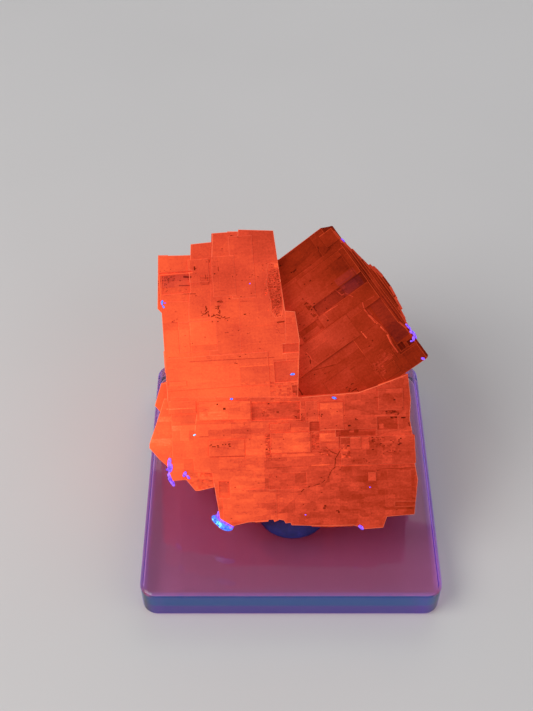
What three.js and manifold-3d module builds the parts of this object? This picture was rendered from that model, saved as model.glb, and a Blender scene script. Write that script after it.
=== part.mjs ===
// Halite crystal cluster fixed on a clear acrylic display base.
// Millimetres, +Z up. The origin is the centre of the base's underside, and
// the specimen's main face looks towards -Y and up.

import * as THREE from "three";
import { mergeVertices } from "three/addons/utils/BufferGeometryUtils.js";
import Module from "manifold-3d";

const wasm = await Module();
wasm.setup();

// Display base
const BASE_SIDE = 64;
const BASE_HEIGHT = 8;
const BASE_CORNER_RADIUS = 3.5;
const BASE_EDGE_BEVEL = 0.6;

// How the specimen sits on the base
const SEAT_GAP = 0.3;
const LEAN_BACK = 48.9; // degrees of the main face from upright
const FOOT_AT = [-0.4, -20.25, 16.3]; // middle of the main face's lowest front edge

// Cube directions inside the main face, degrees anticlockwise
const BODY_TURN = 1.8;
const LEFT_TURN = 4.0;
const RIGHT_TURN = 36.0;
const RIGHT_TILT = 14.0; // the right crystal's front face looks down to the left
const RIGHT_AT = [17.6, 49.7, 1.0]; // middle of its long right edge

// Thickness of each main mass behind its front face
const LEFT_THICK = 20;
const RIGHT_THICK = 24;
const BODY_THICK = 31;

// Putty under the front edge
const PUTTY_AT = [0.5, -11.4];
const PUTTY_HALF = [7.6, 6.8, 4.0];

// Relief on the front faces: how deep a raised plate is rooted, and how far out a
// cutting block starts
const PLATE_ROOT = 3;
const CUT_OVERHANG = 3;

const degrees = THREE.MathUtils.degToRad;

// The putty is pressed against the specimen's foot, and so its top follows the foot's steps
const abovePutty = {
  outline: [
    [-32, 0.7], [-1.1, 0.7], [-1.1, 0.3], [0.1, 0.3], [0.1, -0.15], [12, -0.15], [32, -0.7],
    [32, 32], [-32, 32],
  ],
  front: PLATE_ROOT, back: -BASE_SIDE,
};

function toSolid(geometry, matrix) {
  const bare = geometry.index ? geometry.toNonIndexed() : geometry.clone();
  bare.deleteAttribute("normal");
  bare.deleteAttribute("uv");
  if (matrix) bare.applyMatrix4(matrix);
  const merged = mergeVertices(bare, 1e-4);
  return new wasm.Manifold(new wasm.Mesh({
    numProp: 3,
    vertProperties: new Float32Array(merged.attributes.position.array),
    triVerts: new Uint32Array(merged.index.array),
  }));
}

function toGeometry(solid) {
  const mesh = solid.getMesh();
  const geometry = new THREE.BufferGeometry();
  geometry.setAttribute("position", new THREE.BufferAttribute(mesh.vertProperties, 3));
  geometry.setIndex(new THREE.BufferAttribute(mesh.triVerts, 1));
  geometry.computeVertexNormals();
  return geometry;
}

function join(solids) {
  return solids.reduce((sum, solid) => sum.add(solid));
}

// A block is [left, low, right, high, front, back] along a crystal's own directions
function block([left, low, right, high, front, back], frame) {
  const box = new THREE.BoxGeometry(right - left, high - low, front - back);
  box.translate((left + right) / 2, (low + high) / 2, (front + back) / 2);
  return toSolid(box, frame);
}

// A plate is [left, low, right, high, rise] above the face that it grows on
function plate([left, low, right, high, rise], frame) {
  return block([left, low, right, high, rise, -PLATE_ROOT], frame);
}

// A pocket is [left, low, right, high, depth] below the face
function pocket([left, low, right, high, depth], frame) {
  return block([left, low, right, high, CUT_OVERHANG, -depth], frame);
}

// A prism is a flat outline in the face, from its front back to its thickness
function prism({ outline, front, back }, frame) {
  const shape = new THREE.Shape(outline.map(([across, up]) => new THREE.Vector2(across, up)));
  const body = new THREE.ExtrudeGeometry(shape, { depth: front - back, bevelEnabled: false });
  body.translate(0, 0, back);
  return toSolid(body, frame);
}

function turned(angle) {
  return new THREE.Matrix4().makeRotationZ(degrees(angle));
}

const bodyFrame = turned(BODY_TURN);
const leftFrame = turned(LEFT_TURN);
const rightFrame = new THREE.Matrix4()
  .makeTranslation(...RIGHT_AT)
  .multiply(turned(RIGHT_TURN))
  .multiply(new THREE.Matrix4().makeRotationY(degrees(-RIGHT_TILT)));

// Left crystal: four columns that end in rising steps, on one broad trunk
const leftMasses = [
  {
    outline: [[-27.8, 46.0], [-26.9, 45.1], [-26.3, 40], [-19, 40], [-20.8, 57.3], [-27.7, 57.2]],
    front: -0.25, back: -13.5,
  },
  { outline: [[-21.6, 30], [-15, 30], [-16.1, 60.1], [-20.8, 59.6]], front: 0, back: -17 },
  { outline: [[-17, 30], [-10, 30], [-10.9, 62.3], [-16.2, 61.9]], front: 0.15, back: -LEFT_THICK },
  {
    outline: [[-12, 30], [-0.5, 30], [-0.9, 45.6], [-3.4, 62.5], [-10.8, 62.7]],
    front: 0, back: -LEFT_THICK - 1.5,
  },
  {
    outline: [
      [-25.6, 26.2], [1.8, 26.8], [2.2, 39.3], [1.2, 45.4], [-1.1, 45.6],
      [-2, 47.5], [-27.2, 47.5], [-26.9, 45.1],
    ],
    front: -0.05, back: -LEFT_THICK + 0.7,
  },
];
const leftPlates = [
  [-23.5, 30.4, -2, 37.2, 0.25], // band across the foot of the crystal
  [-23.1, 31.2, -19.4, 32.2, 0.4], // short ridge at its left end
  [-8.6, 48.8, -3.6, 61.9, 0.18],
  [-12.5, 49.5, -7.7, 57.9, 0.3],
  [-17.5, 52.8, -13.2, 57.6, 0.22],
  [-20.4, 38.2, -12.4, 44.6, 0.16],
];
const leftPockets = [
  [1.2, 36.6, 6, 38.6, 0.45],
  [-0.9, 30.5, 6, 35.0, 0.35],
  [2.6, 27.4, 7, 29.8, 0.25],
  [-25.0, 55.0, -16.7, 55.4, 0.65], // slot across the corner column
  [-23.3, 50.7, -17.3, 54.8, 0.5], // its clear sunk window
];
// Strip along the right edge that is etched away a little, with a wavy outline
const etchedStrip = {
  outline: [
    [-4.3, 55.8], [-4.7, 54.4], [-4.5, 53.0], [-4.8, 51.4], [-4.4, 50.1], [-4.3, 48.9], [-3.8, 47.6],
    [-4.0, 46.2], [-3.6, 45.1], [-2.9, 44.2], [-1.7, 44.4], [-1.3, 46.0], [-1.5, 48.6], [-1.8, 50.2],
    [-1.8, 52.0], [-2.2, 53.4], [-2.2, 54.8], [-3.1, 55.5],
  ],
  front: CUT_OVERHANG, back: -0.12,
};

// Lower body: broad mass under both crystals, and smaller cubes at its left
const bodyMasses = [
  {
    outline: [
      [-24.6, 14.7], [-20.2, 14.3], [-20, 11.7], [-16.2, 11.4], [-15.9, 9.3], [-14.6, 1.8],
      [-11.9, 0.2], [-8.6, 1.0], [-4.4, 1.3], [-4.2, 1.8], [-3.4, 1.7], [-3.2, 1.2], [-2.2, 1.6],
      [-1.1, 1.4], [-0.8, 0.8], [0.3, 0.9], [0.5, 0.4], [8.1, 0.2], [13.5, 0.4], [16, -0.4], [19.8, -0.1],
      [20.6, 2.2], [26.4, 2.7], [27.1, 10.1], [26.5, 13.3], [26.2, 18.5], [25.4, 22.7],
      [25.6, 26.8], [25, 32.2], [18.9, 29.9], [14.7, 28.4], [8.8, 27.9], [2.7, 27.4], [-25, 27.4],
    ],
    front: 0, back: -BODY_THICK,
  },
  {
    outline: [[-28.5, 25.5], [-27.3, 24.1], [-22, 23], [-22, 31.2], [-25.9, 30.4], [-27.2, 30.1]],
    front: -1.7, back: -16,
  },
  {
    outline: [
      [-29.5, 17.4], [-29.5, 16.6], [-27.4, 14.2], [-25.9, 12.9], [-19, 11], [-19, 27], [-26.4, 27],
      [-27.3, 24.1],
    ],
    front: -0.4, back: -21,
  },
  {
    outline: [
      [-25.9, 13.1], [-24.6, 9.7], [-21.7, 9.9], [-19.8, 7.6], [-19, 7.6], [-16.1, 8.3], [-14, 9],
      [-14, 16], [-25, 16],
    ],
    front: -0.25, back: -18,
  },
];
const bodyPlates = [
  [-18.2, 23.0, -7.4, 26.9, 0.5], // bright brick under the left crystal
  [-16.4, 15.4, -8.9, 18.8, 0.35],
  [-3.4, 15.7, 5.0, 19.9, 0.4], // long brick in the middle
  [-3.4, 20.6, 0.8, 21.9, 0.25],
  [7.2, 20.2, 12.1, 26.0, 0.4],
  [7.0, 16.2, 11.0, 19.6, 0.35],
  [11.3, 12.7, 27.0, 18.6, 0.3], // broad ledge on the right
  [13.4, 16.0, 15.6, 18.6, 0.55],
  [16.9, 9.2, 18.6, 11.1, 0.35], // small square
  [19.5, 24.0, 24.8, 28.5, 0.3],
  [-13.8, 1.7, -2.5, 8.2, 0.25],
  [-24.6, 24.7, -18.9, 27.2, 0.3],
  [4.2, 21.9, 6.6, 26.4, 0.2],
];
const bodyPockets = [
  [-7.3, 22.6, 3.1, 26.5, 0.55], // dark sunk brick beside the bright one
  [4.9, 20.0, 7.1, 22.1, 0.6],
  [10.4, 18.7, 18.9, 20.2, 0.6], // dark band above the broad ledge
  [19.2, 19.8, 23.6, 22.7, 0.4],
  [5.2, 16.0, 6.9, 19.4, 0.35],
  [-14.6, 6.6, -12.2, 10.2, 0.3],
  [22.4, 3.6, 27.6, 4.6, 0.25],
  [-3.9, 8.0, 4.0, 11.4, 0.2],
];

// Right crystal: a tilted cube with terraces. Its long right side bulges outwards
// with depth in slightly slanted steps, and thins towards the apex and the lower corner.
const rightMasses = [
  [-29, -9.6, -1.2, 17.2, 0, -18],
  [-29, -9.6, -2.4, 16.4, -10, -RIGHT_THICK],
  [-27, -17.2, -5, -6, -0.1, -20],
  [-12, -17, -0.3, -9, -3, -12],
];
const rightSideSteps = [
  { outline: [[-6, -9.8], [0.3, -9.8], [0.3, 13.4], [-0.1, 15.9], [-6, 15.9]], front: 0, back: -4 },
  { outline: [[-9.5, -18], [0.9, -18], [0.9, -10.5], [0.4, -8.5], [-9.5, -8.5]], front: 0, back: -4.2 },
  { outline: [[-2.4, 12], [0.55, 12], [0.75, 13], [0.55, 15.8], [-2.4, 15.8]], front: 0, back: -1.8 },
  {
    outline: [[-6, -13], [0.4, -13], [0.85, -10.4], [0.85, 9.4], [0.35, 12.9], [-6, 12.9]],
    front: -2.5, back: -6,
  },
  {
    outline: [[-6, -10.6], [0.8, -10.6], [1.2, -7.4], [1.2, 6.9], [0.8, 10], [-6, 10]],
    front: -4.5, back: -7.6,
  },
  { outline: [[-6, -9], [1.1, -9], [1.5, -5.9], [1.5, 4.2], [1.1, 7], [-6, 7]], front: -6, back: -9 },
  { outline: [[-6, -7], [1.5, -7], [1.9, -3.9], [1.9, 2.8], [1.5, 5.1], [-6, 5.1]], front: -7, back: -11.4 },
  {
    outline: [[-6, -4.3], [1.8, -4.3], [2.2, -1.4], [2.2, 1.2], [1.8, 3.3], [-6, 3.3]],
    front: -8.5, back: -12.5,
  },
  {
    outline: [[-6, -4.9], [0.5, -4.9], [0.9, -2], [0.9, 1.9], [0.5, 4.4], [-6, 4.4]],
    front: -10.8, back: -RIGHT_THICK,
  },
  { outline: [[-6, -10], [-0.3, -10], [0.1, -7], [0.1, 5.8], [-0.3, 8.4], [-6, 8.4]], front: -11, back: -19 },
];
const rightPlates = [
  [-2.5, 13.0, 0.6, 15.9, 0.25],
  [-22.8, -5.9, -7.6, -0.6, 0.35], // terrace above the long step
  [-8.0, -5.8, -3.4, -1.9, 0.2],
  [-9.0, -16.9, -5.2, -14.4, 0.3],
  [-7.4, -14.8, -4.2, -11.6, 0.2],
  [-12.0, 5.0, -1.0, 11.2, 0.2],
];
const rightPockets = [
  [-30, 12.1, -4.3, 20, 0.6], // lower terrace along the top edge
  [-12.6, 2.3, 0.9, 4.9, 0.55], // violet trough
  [-18.4, -0.4, -12.9, 2.2, 0.4],
  [-2.8, -13.8, -1.4, -12.1, 1.3], // two square cells in the terrace along the right edge
  [-0.8, -13.9, 0.6, -12.7, 1.3],
  [-30, -20, -9.6, -5.9, 0.35], // below the long step
  [-20.5, -13.2, -14, -9.8, 0.6],
];

// Terrace along the right edge, whose left side is wavy
const rightTerrace = {
  outline: [
    [3, -1.9], [-3.6, -1.9], [-3.6, -3.6], [-3.3, -5.4], [-2.9, -7.1], [-2.8, -9.3], [-3.2, -11.2],
    [-3.2, -14.2], [3, -14.2],
  ],
  front: CUT_OVERHANG, back: -0.75,
};

// Stepped cubes on the sides and the back, in the main face's directions
const backBlocks = [
  [-26.6, 33, -20, 42.5, -6, -15],
  [-25.5, 45, -14.5, 56, -9, -17.5],
  [-19, 49, -6, 60.2, -12, -24.5],
  [-13.5, 52, -5.2, 63.6, -11, -19],
  [-9, 38, -1.2, 52.5, -14, -26],
  [-22.5, 28, -11, 40.5, -15, -25.5],
  [-17.5, 34, -3, 46, -17, -28],
  [-27.8, 14.5, -18, 24.5, -12, -26],
  [-24, 8.8, -12, 19, -10, -24],
  [15, 5, 27.3, 17.5, -9, -25],
  [12, 14, 26.2, 27.5, -12, -29],
  [18, 20, 25.7, 30.6, -4, -19],
  [-2, 22, 14, 37, -22, -34],
  [-13, 17, 2, 31, -24, -35],
  [4, 30, 17, 42, -18, -31],
];
const rightBackBlocks = [
  [-14, -2, -3, 11, -20, -29],
  [-21, 3, -9, 15.5, -18, -27],
  [-9, 2, -1.4, 13.5, -14, -22],
  [-10, -12, -0.9, -2, -11.4, -21],
  [-24, -8, -12, 4, -20, -28],
  [-16, 9, -5, 18, -12, -19],
];

function frontSolid() {
  const masses = [
    ...[...leftMasses, ...bodyMasses].map((mass) => prism(mass)),
    ...leftPlates.map((sizes) => plate(sizes, leftFrame)),
    ...bodyPlates.map((sizes) => plate(sizes, bodyFrame)),
    ...backBlocks.map((sizes) => block(sizes)),
  ];
  const pockets = [
    ...leftPockets.map((sizes) => pocket(sizes, leftFrame)),
    prism(etchedStrip),
    ...bodyPockets.map((sizes) => pocket(sizes, bodyFrame)),
  ];
  return join(masses).subtract(join(pockets));
}

function rightSolid() {
  const masses = [
    ...rightMasses.map((sizes) => block(sizes, rightFrame)),
    ...rightSideSteps.map((step) => prism(step, rightFrame)),
    ...rightPlates.map((sizes) => plate(sizes, rightFrame)),
  ];
  const pockets = [
    ...rightPockets.map((sizes) => pocket(sizes, rightFrame)),
    prism(rightTerrace, rightFrame),
  ];
  const behind = rightBackBlocks.map((sizes) => block(sizes, rightFrame));
  return join(masses).subtract(join(pockets)).add(join(behind)).subtract(frontRoom());
}

// The left crystal and the lower body stand in front of the right crystal, so its
// front stays clear of theirs
function frontRoom() {
  return join([
    block([-40, 20, 1.5, 45.3, 20, -1.2]),
    block([-40, 45, -1.2, 70, 20, -1.2]),
    block([-40, -5, 18, 27.4, 20, -1.2]),
  ]);
}

function specimenPlace() {
  const group = new THREE.Group();
  group.position.set(...FOOT_AT);
  group.rotation.x = degrees(90 - LEAN_BACK);
  group.updateMatrixWorld(true);
  return group;
}

// Everything below the seat, as a block in the base's own directions
function belowSeat() {
  const reach = 4 * BASE_SIDE;
  const box = new THREE.BoxGeometry(reach, reach, reach);
  box.translate(0, 0, BASE_HEIGHT + SEAT_GAP - reach / 2);
  return box;
}

function baseGeometry() {
  const half = BASE_SIDE / 2 - BASE_EDGE_BEVEL;
  const radius = BASE_CORNER_RADIUS - BASE_EDGE_BEVEL;
  const shape = new THREE.Shape();
  shape.moveTo(-half + radius, -half);
  shape.lineTo(half - radius, -half);
  shape.absarc(half - radius, -half + radius, radius, -Math.PI / 2, 0, false);
  shape.absarc(half - radius, half - radius, radius, 0, Math.PI / 2, false);
  shape.absarc(-half + radius, half - radius, radius, Math.PI / 2, Math.PI, false);
  shape.absarc(-half + radius, -half + radius, radius, Math.PI, 1.5 * Math.PI, false);
  const geometry = new THREE.ExtrudeGeometry(shape, {
    depth: BASE_HEIGHT - 2 * BASE_EDGE_BEVEL,
    bevelSize: BASE_EDGE_BEVEL,
    bevelThickness: BASE_EDGE_BEVEL,
    bevelSegments: 2,
    curveSegments: 6,
  });
  geometry.translate(0, 0, BASE_EDGE_BEVEL);
  return toGeometry(toSolid(geometry));
}

function puttySolid(place) {
  const dome = new THREE.SphereGeometry(1, 28, 14);
  dome.rotateX(Math.PI / 2);
  dome.scale(...PUTTY_HALF);
  dome.translate(...PUTTY_AT, BASE_HEIGHT + SEAT_GAP);
  return toSolid(dome)
    .subtract(toSolid(belowSeat()))
    .subtract(prism(abovePutty, place.matrixWorld));
}

const haliteMaterial = new THREE.MeshStandardMaterial({
  color: 0xf0552c, emissive: 0xb02a10, roughness: 0.35, metalness: 0,
});
const acrylicMaterial = new THREE.MeshStandardMaterial({
  color: 0xb6a8d6, roughness: 0.08, metalness: 0, transparent: true, opacity: 0.35,
});
const puttyMaterial = new THREE.MeshStandardMaterial({
  color: 0x2c2f5a, roughness: 0.8, metalness: 0,
});

const part = new THREE.Group();

const base = new THREE.Mesh(baseGeometry(), acrylicMaterial);
base.name = "acrylic_base";
part.add(base);

const place = specimenPlace();
const seatCut = toSolid(belowSeat(), place.matrixWorld.clone().invert());
const halite = new THREE.Mesh(toGeometry(frontSolid().add(rightSolid()).subtract(seatCut)), haliteMaterial);
halite.name = "halite";
place.add(halite);
part.add(place);

const putty = new THREE.Mesh(toGeometry(puttySolid(place)), puttyMaterial);
putty.name = "mounting_putty";
part.add(putty);

export default part;
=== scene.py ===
"""Looks for the halite cluster on its clear display base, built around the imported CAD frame."""

import math
import random
from collections import namedtuple

import bmesh
import bpy
from bpy.props import FloatProperty, FloatVectorProperty, IntProperty, PointerProperty
from mathutils import Matrix, Vector, noise
from mathutils.bvhtree import BVHTree


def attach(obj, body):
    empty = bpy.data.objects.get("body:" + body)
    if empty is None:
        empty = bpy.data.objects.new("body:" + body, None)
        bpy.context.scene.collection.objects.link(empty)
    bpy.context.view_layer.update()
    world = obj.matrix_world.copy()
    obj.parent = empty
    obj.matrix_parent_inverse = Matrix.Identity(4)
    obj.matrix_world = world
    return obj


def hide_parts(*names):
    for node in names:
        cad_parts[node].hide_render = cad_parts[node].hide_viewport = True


bl_info = {
    "name": "Halite on a Clear Base",
    "version": (1, 0, 0),
    "blender": (4, 5, 0),
    "location": "View3D > Sidebar > Halite",
    "description": "A glowing halite cluster with its terraces, fixed on an acrylic display base",
    "category": "Object",
}

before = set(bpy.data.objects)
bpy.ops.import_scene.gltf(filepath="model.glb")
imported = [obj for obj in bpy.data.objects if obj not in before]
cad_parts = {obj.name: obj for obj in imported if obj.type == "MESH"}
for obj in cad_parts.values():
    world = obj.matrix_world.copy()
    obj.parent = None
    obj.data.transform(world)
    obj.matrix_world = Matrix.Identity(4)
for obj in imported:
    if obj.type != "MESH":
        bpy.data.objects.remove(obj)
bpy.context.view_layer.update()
MM = 0.001

# Where the crystals are, in millimetres and degrees, as in the part's source.
LEAN_BACK = 48.9
FOOT = Vector((-0.4, -20.25, 16.3))
BODY_TURN = 1.8
LEFT_TURN = 4.0
RIGHT_TURN = 36.0
RIGHT_TILT = 14.0
RIGHT_AT = Vector((17.6, 49.7, 1.0))
SEAT_HEIGHT = 8.3
BASE_HEIGHT = 8.0
BASE_HALF = 32 * MM
FLOOR_GAP = 0.0001  # metres between the base and the floor, so that light finds its way out

FACE_PLACE = Matrix.Translation(FOOT) @ Matrix.Rotation(math.radians(90 - LEAN_BACK), 4, "X")
TO_ROW = Matrix.Scale(MM, 4) @ FACE_PLACE
BODY = Matrix.Rotation(math.radians(BODY_TURN), 4, "Z")
LEFT = Matrix.Rotation(math.radians(LEFT_TURN), 4, "Z")
RIGHT = (
    Matrix.Translation(RIGHT_AT)
    @ Matrix.Rotation(math.radians(RIGHT_TURN), 4, "Z")
    @ Matrix.Rotation(math.radians(-RIGHT_TILT), 4, "Y")
)
PLACES = {"left": LEFT, "body": BODY, "right": RIGHT}
CRYSTALS = ("left", "body", "right")
LEFT_FOOT = 30.5  # height in the face where the left crystal gives way to the lower body

# Usual size of the bricks on each crystal's front, in millimetres, and how far their shades spread.
Bricks = namedtuple("Bricks", "wide tall spread")
BRICKS = {
    "left": Bricks(11.0, 9.0, 0.012),
    "body": Bricks(5.0, 2.2, 0.035),
    "right": Bricks(9.0, 4.5, 0.025),
}

# Patches of the front faces by crystal, in the crystal's own directions: left, low, right, high,
# tone, rise. A tone above 0 is lighter than its surroundings, and a rise below 0 is sunk.
PATCHES = {
    "left": (
        (-23.7, 55.3, -17, 58.9, 0.1, 0), (-23.6, 53.4, -17.1, 54.8, -0.13, -0.03),
        (-23.6, 52.1, -20.6, 54.8, -0.07, -0.02), (-18, 39.5, -12.5, 45.2, 0.09, 0.03),
        (-23.4, 36.9, -18.2, 43.1, 0.08, 0.03), (-23.9, 31.1, -8.1, 35.1, 0.02, 0.03),
        (-8.1, 30.3, -1, 34.3, -0.05, 0.02), (-0.9, 30.7, 4.1, 35.4, -0.16, -0.03),
        (1.3, 36.8, 4.5, 38.7, -0.18, -0.05), (2.2, 42.9, 4.4, 45.2, 0.08, 0.05),
        (-4.1, 56.1, 0.7, 62.6, -0.03, 0.02), (0.7, 54.8, 1.8, 55.6, 0.34, 0.03),
        (-2, 27, 3.8, 30.8, -0.08, -0.03), (-23.6, 30.7, -19.4, 31.6, 0.08, 0.06),
        (1.7, 42.7, 3.6, 44, -0.1, -0.04),
    ),
    "body": (
        (-18.3, 22.9, -7.3, 26.8, 0.1, 0.04), (-7.3, 22.3, 3, 26.4, -0.12, -0.03),
        (-3.8, 21, 0.4, 22.1, 0.05, 0.05), (-11.6, 18.9, -7.4, 22.5, -0.1, -0.03),
        (-16.4, 15.4, -8.8, 18.9, 0.06, 0.04), (-8.8, 12.2, -4.4, 20, 0.04, 0.03),
        (-3.4, 15.8, 4.9, 20, 0.11, 0.04), (-3.6, 14.8, 8.4, 15.7, 0.05, 0.03),
        (-4.8, 8.2, 8.9, 14.7, -0.09, -0.03), (4.9, 20, 7.1, 22.2, -0.1, -0.03),
        (7.2, 20, 12.5, 26, 0.1, 0.04), (6.9, 17.8, 11.1, 19.7, 0.16, 0.05),
        (8.3, 16, 10.9, 17.4, 0.14, 0.05), (10.5, 18.7, 18.9, 20.4, -0.1, -0.03),
        (11.5, 17.1, 13.3, 20.1, -0.12, -0.04), (13.3, 16, 17.4, 18.6, 0.12, 0.05),
        (19.2, 19.8, 23.6, 22.7, -0.07, -0.03), (11.2, 9.1, 13.6, 12.5, -0.06, -0.03),
        (17, 9.1, 18.6, 11, 0.3, 0.06), (8.8, 3, 26, 12.4, -0.05, 0), (3.1, 24.6, 12.3, 26.5, 0.06, 0.03),
        (2.1, 22.1, 4.7, 23.3, -0.08, -0.03), (12.6, 23.1, 19.5, 29.4, -0.04, -0.02),
        (22.1, 12.5, 26.8, 17.6, 0.04, 0.03), (-12, 1.5, -5.6, 5.3, 0.05, 0.02),
        (-15.6, 7.6, -12.4, 10.6, -0.14, -0.03), (10.8, -0.1, 20.3, 7.3, -0.03, 0.02),
        (18.7, 3.4, 20.3, 4.9, -0.08, -0.02), (22.4, 3.6, 26.7, 5.1, -0.04, -0.02),
        (13.6, 9.4, 16.9, 12.4, -0.05, -0.02), (14.3, 19.5, 15.3, 20.1, -0.15, -0.06),
        (19.6, 20.1, 20.6, 21.2, 0.1, 0.04), (20.9, 5.4, 26.8, 11.3, 0.04, 0.02),
    ),
    "right": (
        (-30, 12.1, -4.3, 20, -0.03, 0), (-12.6, 2.3, 0.9, 4.9, -0.19, -0.04),
        # the flat lighter patches above the long step, at tones 0.14 and 0.09, are painted light, brighter
        # towards the left
        (-18.4, -0.4, -12.9, 2.2, -0.13, -0.03), (-24.8, -5.6, -14, 0.9, 0.14, 0),
        (-14, -5.6, -7.6, -0.6, 0.09, 0), (-2.6, -11.8, 2, -1.9, -0.1, -0.04),
        (-2.7, -13.7, -1.5, -12.2, -0.3, 0), (-0.7, -13.8, 0.5, -12.8, -0.3, 0),
        (-4.5, 6.8, -0.7, 9.9, -0.05, -0.02), (-16.9, 1, -13.8, 2.8, -0.1, -0.04),
    ),
}

# Etched places by crystal: left, low, right, high, cell size, depth, tone, change of tone.
ETCHED = {
    "left": (
        (-0.8, 52.9, 1.4, 54.6, 0.3, 0.07, -0.08, 0.11), (-0.9, 51.2, 1.5, 52.9, 0.28, 0.07, -0.07, 0.12),
        (-1, 49.8, 1.7, 51.2, 0.3, 0.08, -0.11, 0.12), (-0.6, 48.3, 1.8, 49.8, 0.28, 0.07, -0.1, 0.12),
        (-0.4, 46.9, 1.9, 48.3, 0.3, 0.08, -0.13, 0.11), (-0.4, 45.5, 1.7, 46.9, 0.28, 0.07, -0.11, 0.12),
        (-0.1, 44.4, 1.2, 45.5, 0.28, 0.06, -0.09, 0.11), (0.1, 40.9, 0.9, 43.2, 0.24, 0.06, -0.04, 0.12),
        (-2, 27, 3.8, 30.8, 0.55, 0.08, -0.04, 0.1), (-15.1, 52.1, -12.6, 54.2, 0.4, 0.06, -0.05, 0.08),
        (-8.1, 30.3, -1, 30.9, 0.5, 0.05, 0, 0.08),
    ),
    "body": (
        (-4.6, 14.2, -3.1, 19.7, 0.4, 0.1, -0.04, 0.14), (4.7, 16.3, 6.8, 20.1, 0.34, 0.08, -0.02, 0.12),
        (6.8, 14.8, 9.1, 16, 0.36, 0.12, -0.02, 0.18), (11.4, 14.2, 13.3, 17.1, 0.42, 0.12, -0.02, 0.18),
        (17.3, 16.2, 20.6, 18.4, 0.4, 0.06, -0.05, 0.09), (19.6, 14.6, 23.6, 16.6, 0.42, 0.05, -0.02, 0.08),
        (21.1, 22.3, 23.9, 24, 0.45, 0.1, -0.1, 0.12), (-17.8, 23.9, -16.4, 25.4, 0.4, 0.06, -0.03, 0.09),
        (-5.2, 23.4, -2.5, 26.2, 0.55, 0.06, -0.02, 0.07), (-20.6, 8.6, -15.8, 12, 0.5, 0.12, -0.03, 0.12),
        (2.1, 22.1, 4.7, 24.4, 0.45, 0.08, -0.02, 0.12),
    ),
    "right": (
        (-9.9, -15.6, -7.6, -12.4, 0.34, 0.1, 0.05, 0.1), (-7.6, -13.8, -4.9, -12.3, 0.3, 0.08, 0.06, 0.1),
        (-4.9, -13.2, -3.5, -12, 0.28, 0.06, 0.05, 0.08), (-6.6, -12.3, -5.6, -10.9, 0.3, 0.06, 0.04, 0.08),
        (-13.6, 2.1, -12.7, 6.4, 0.4, 0.12, -0.08, 0.12), (-9.1, -15.8, -8.3, -13.4, 0.4, 0.1, 0.04, 0.1),
        (-6.7, 3.2, -4.3, 4.9, 0.5, 0.08, -0.02, 0.1),
    ),
}
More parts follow.
